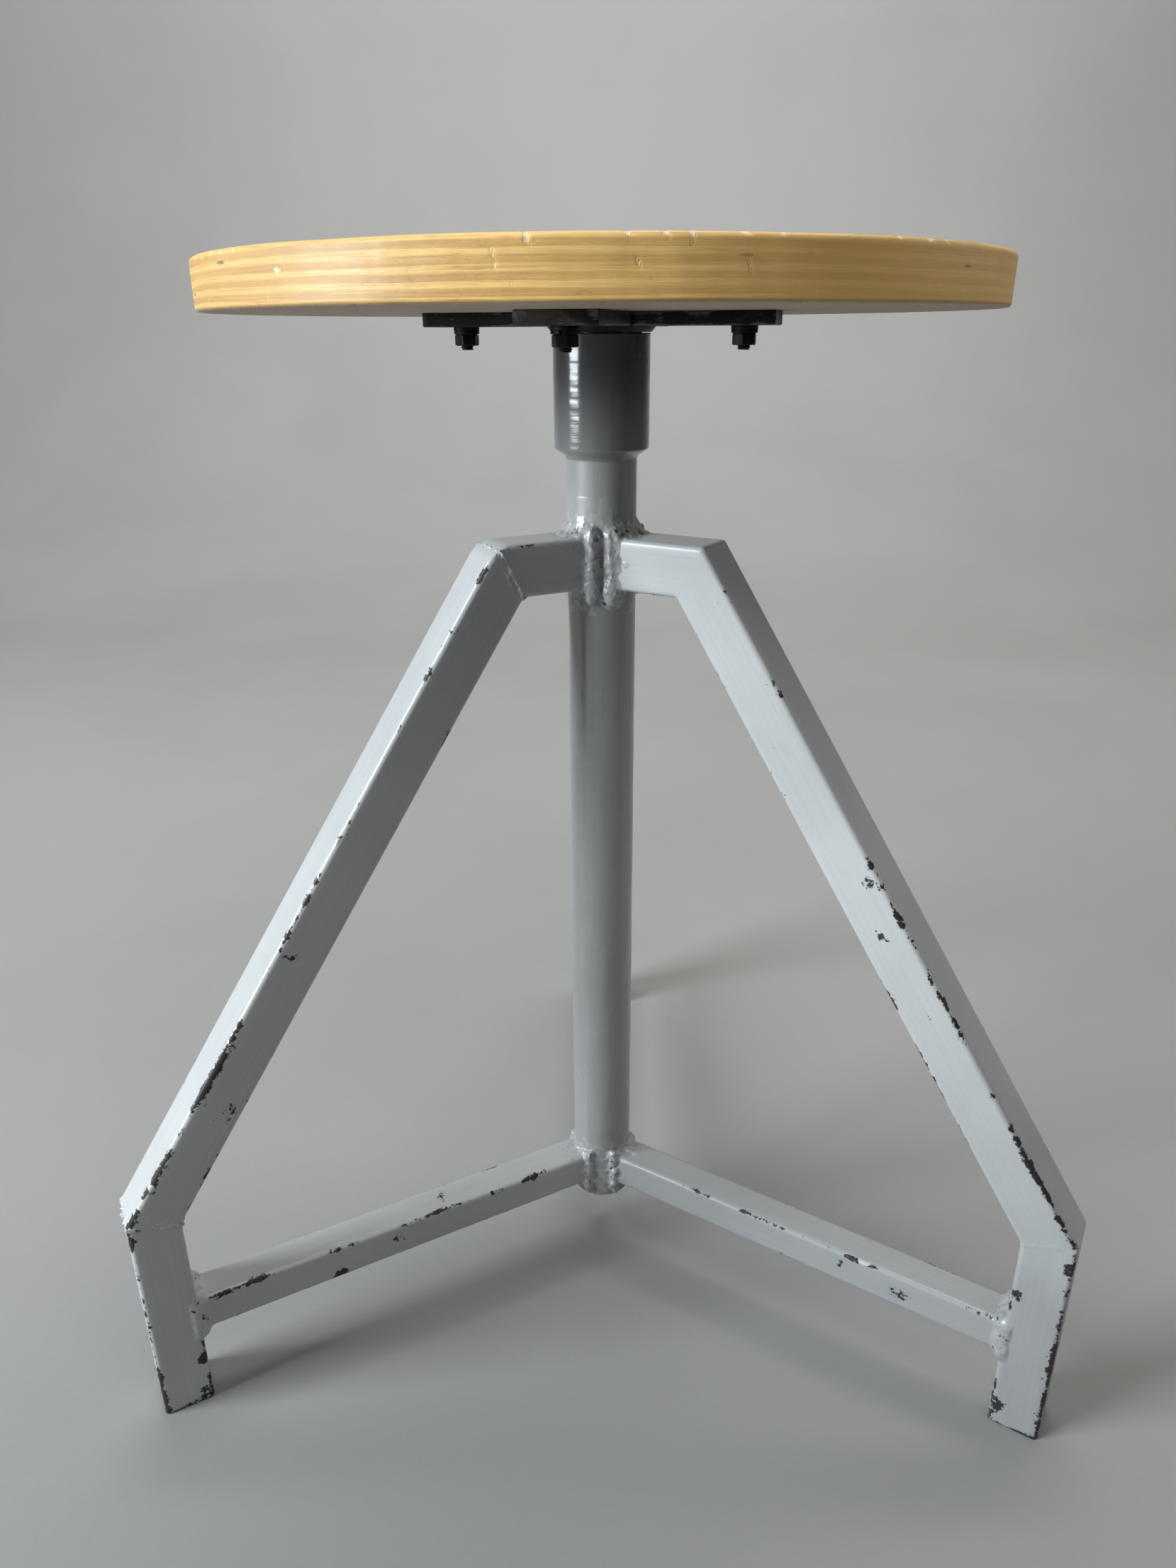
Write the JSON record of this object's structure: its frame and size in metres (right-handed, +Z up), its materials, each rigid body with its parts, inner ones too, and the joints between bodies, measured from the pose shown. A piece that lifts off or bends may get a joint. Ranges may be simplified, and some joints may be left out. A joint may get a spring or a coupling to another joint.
{
  "type": "adjustable swivel stool",
  "caption": "Round plywood seat on a screw spindle that turns in a welded three-legged square-tube frame; turning the seat raises or lowers it.",
  "frame": {"origin": "on the floor, on the common axis of the column, the spindle and the seat", "axes": "+Z up along the column; +Y towards the rear leg; the left and right legs stand at 120 degrees to it, towards -X and +X"},
  "size_m": [0.4746, 0.443, 0.554],
  "materials": {
    "seat_wood": "varnished plywood",
    "frame_paint": "light grey enamel, chipped at the edges",
    "column_paint": "mid grey enamel",
    "bracket_paint": "black paint worn at the edges",
    "black_fastener": "black oxide",
    "spindle_steel": "bare, oiled",
    "zinc_steel": "zinc plated"
  },
  "bodies": {
    "frame": {"column": "column_paint", "spindle_nut": "column_paint", "leg_arm_left": "frame_paint", "leg_arm_right": "frame_paint", "leg_arm_rear": "frame_paint", "leg_strut_left": "frame_paint", "leg_strut_right": "frame_paint", "leg_strut_rear": "frame_paint", "leg_foot_left": "frame_paint", "leg_foot_right": "frame_paint", "leg_foot_rear": "frame_paint", "stretcher_left": "frame_paint", "stretcher_right": "frame_paint", "stretcher_rear": "frame_paint", "foot_plate_left": "frame_paint", "foot_plate_right": "frame_paint", "foot_plate_rear": "frame_paint"},
    "lift": {"stop_washer": "zinc_steel"},
    "seat": {"spindle": "spindle_steel", "spindle_flange": "bracket_paint", "stop_bolt": "zinc_steel", "bracket_bar": "bracket_paint", "bracket_arm_front": "bracket_paint", "bracket_arm_rear": "bracket_paint", "seat_board": "seat_wood", "seat_bolts": "black_fastener", "seat_washers": "black_fastener", "seat_spring_washers": "black_fastener", "seat_nuts": "black_fastener"}
  },
  "joints": [
    {"name": "seat_lift", "type": "slide", "parent": "frame", "child": "lift", "axis": [0, 0, 1], "range_m": [0, 0.149]},
    {"name": "seat_turn", "type": "hinge", "parent": "lift", "child": "seat", "pos_m": [0, 0, 0], "axis": [0, 0, 1], "range_deg": [0, 10710]}
  ],
  "couplings": [
    {"joint": "seat_lift", "follows": "seat_turn", "m_per_rad": 0.00079577}
  ]
}
